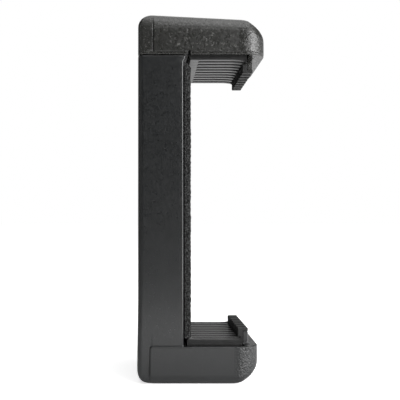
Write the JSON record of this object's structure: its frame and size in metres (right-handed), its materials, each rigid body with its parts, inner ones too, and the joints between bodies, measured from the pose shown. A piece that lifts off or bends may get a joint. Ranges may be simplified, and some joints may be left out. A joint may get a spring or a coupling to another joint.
{
  "type": "spring-loaded phone clip",
  "caption": "Spring-loaded phone clip for a selfie stick: a sliding ribbed jaw over a fixed jaw, each with a hooked lip, on a flat housing with a threaded socket below.",
  "frame": {"origin": "middle of the underside of the fixed lower jaw, on the axis of the threaded socket", "axes": "+X from the flat back to the tips of the jaws, +Y across the clip, +Z from the fixed jaw up to the sliding jaw"},
  "size_m": [0.0296, 0.028, 0.085],
  "materials": {
    "housing_plastic": "fine moulded texture, charcoal",
    "jaw_plastic": "spark-eroded moulded texture, charcoal",
    "cover_plastic": "coarse leather grain",
    "slider_plastic": "smooth, low friction",
    "grip_rubber": "ribbed, matt",
    "insert_brass": "machined",
    "screw_steel": "zinc plated",
    "pin_steel": "ground",
    "spring_steel": "drawn wire"
  },
  "bodies": {
    "clip_body": {"rear_housing": "housing_plastic", "front_cover": "cover_plastic", "lower_grip_pad": "grip_rubber", "thread_insert": "insert_brass", "cover_screw_1": "screw_steel", "cover_screw_2": "screw_steel", "cover_screw_3": "screw_steel", "cover_screw_4": "screw_steel", "lower_spring_pin_left": "pin_steel", "lower_spring_pin_right": "pin_steel", "left_spring": "spring_steel", "right_spring": "spring_steel"},
    "upper_jaw": {"upper_jaw_shell": "jaw_plastic", "slider": "slider_plastic", "upper_grip_pad": "grip_rubber", "jaw_screw_left": "screw_steel", "jaw_screw_right": "screw_steel", "upper_spring_pin_left": "pin_steel", "upper_spring_pin_right": "pin_steel"}
  },
  "joints": [
    {"name": "jaw_slide", "type": "slide", "parent": "clip_body", "child": "upper_jaw", "axis": [0, 0, 1], "range_m": [0, 0.028], "stiffness_N_per_m": 320, "springref_m": -0.018, "deforming": ["left_spring", "right_spring"]}
  ]
}
